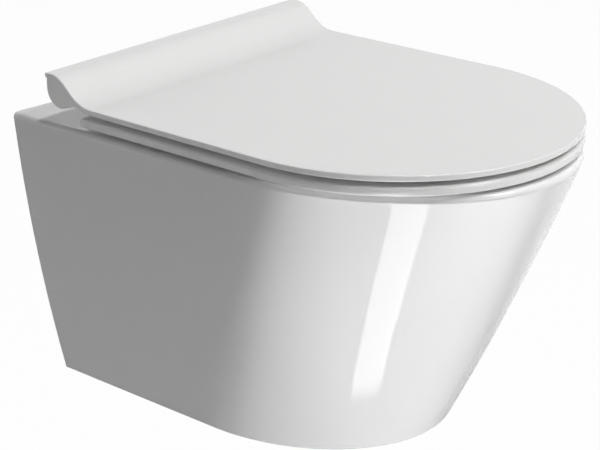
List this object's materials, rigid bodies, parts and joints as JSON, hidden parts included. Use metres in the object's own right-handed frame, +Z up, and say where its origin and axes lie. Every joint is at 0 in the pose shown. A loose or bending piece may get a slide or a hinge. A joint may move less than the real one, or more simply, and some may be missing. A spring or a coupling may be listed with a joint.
{
  "type": "wall hung toilet",
  "caption": "Wall hung toilet pan with a tapering skirt, rounded front, trap, slim seat and flat wing-backed lid on a lift-off soft-close hinge.",
  "frame": {"origin": "on the finished wall, midway between the two wall studs", "axes": "+Z up, -Y out of the wall towards the front of the pan, +X to the right for somebody who faces the wall"},
  "size_m": [0.3602, 0.4912, 0.333],
  "materials": {
    "ceramic": "polished white vitreous china glaze",
    "seat_plastic": "polished white thermoset plastic",
    "bumper_rubber": "matt pale grey rubber",
    "hinge_plastic": "satin white moulded plastic",
    "button_plastic": "matt grey moulded plastic",
    "hinge_steel": "brushed stainless steel",
    "rosette_chrome": "polished chrome",
    "damper_plastic": "matt black moulded plastic",
    "bush_plastic": "matt natural acetal",
    "black_rubber": "matt black rubber",
    "brass": "plain turned brass",
    "zinc_steel": "bright zinc plated steel",
    "sleeve_plastic": "matt natural nylon"
  },
  "bodies": {
    "pan": {"pan": "ceramic", "post_sleeves": "black_rubber", "post_nuts": "brass", "stud_sleeves": "sleeve_plastic", "stud_washers": "zinc_steel", "stud_nuts": "zinc_steel", "inlet_seal": "black_rubber", "hinge_post_left": "hinge_steel", "hinge_post_right": "hinge_steel", "hinge_rosette_left": "rosette_chrome", "hinge_rosette_right": "rosette_chrome"},
    "hinge_unit": {"hinge_block_left": "hinge_plastic", "hinge_block_right": "hinge_plastic", "hinge_pin_left": "hinge_steel", "hinge_pin_right": "hinge_steel"},
    "release_left": {"release_button_left": "button_plastic"},
    "release_right": {"release_button_right": "button_plastic"},
    "seat": {"seat_ring": "seat_plastic", "seat_bumpers": "bumper_rubber", "seat_damper": "damper_plastic", "seat_bush": "bush_plastic"},
    "lid": {"lid": "seat_plastic", "lid_bumpers": "bumper_rubber", "lid_bush": "bush_plastic", "lid_damper": "damper_plastic"}
  },
  "joints": [
    {"name": "seat_lift_off", "type": "slide", "parent": "pan", "child": "hinge_unit", "axis": [0, 0, 1], "range_m": [0, 0.04]},
    {"name": "seat_hinge", "type": "hinge", "parent": "hinge_unit", "child": "seat", "pos_m": [0, -0.0585, 0.1145], "axis": [1, 0, 0], "range_deg": [-93, 0]},
    {"name": "lid_hinge", "type": "hinge", "parent": "seat", "child": "lid", "pos_m": [0, -0.0585, 0.1145], "axis": [-1, 0, 0], "range_deg": [0, 97]},
    {"name": "release_left", "type": "slide", "parent": "hinge_unit", "child": "release_left", "axis": [0, 1, 0], "range_m": [0, 0.002], "stiffness_N_per_m": 1500, "springref_m": -0.002},
    {"name": "release_right", "type": "slide", "parent": "hinge_unit", "child": "release_right", "axis": [0, 1, 0], "range_m": [0, 0.002], "stiffness_N_per_m": 1500, "springref_m": -0.002}
  ]
}
